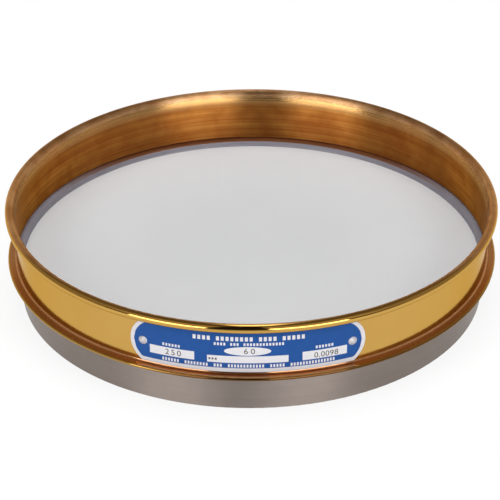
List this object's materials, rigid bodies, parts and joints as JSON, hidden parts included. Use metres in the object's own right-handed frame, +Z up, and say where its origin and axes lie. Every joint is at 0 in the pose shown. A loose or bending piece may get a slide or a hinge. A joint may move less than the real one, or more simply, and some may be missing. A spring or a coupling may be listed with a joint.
{
  "type": "test sieve",
  "caption": "Half-height 12 inch test sieve: polished brass frame with a flared and rolled rim, fine woven wire cloth, steel skirt and a riveted blue nameplate.",
  "frame": {"origin": "centre of the circle that the skirt's lower edge stands on", "axes": "+Z up along the sieve's axis, from the skirt to the rim; the nameplate faces -Y"},
  "size_m": [0.3176, 0.3174, 0.0628],
  "materials": {
    "brass": "polished outside, satin inside",
    "steel": "satin",
    "wire": "woven",
    "solder": "dull",
    "plate_enamel": "semi-gloss",
    "rivet_metal": "satin"
  },
  "bodies": {
    "root": {"frame": "brass", "skirt": "steel", "wire_cloth": "wire", "solder_fillet": "solder", "nameplate": "plate_enamel", "nameplate_rivet_left": "rivet_metal", "nameplate_rivet_right": "rivet_metal"}
  },
  "joints": []
}
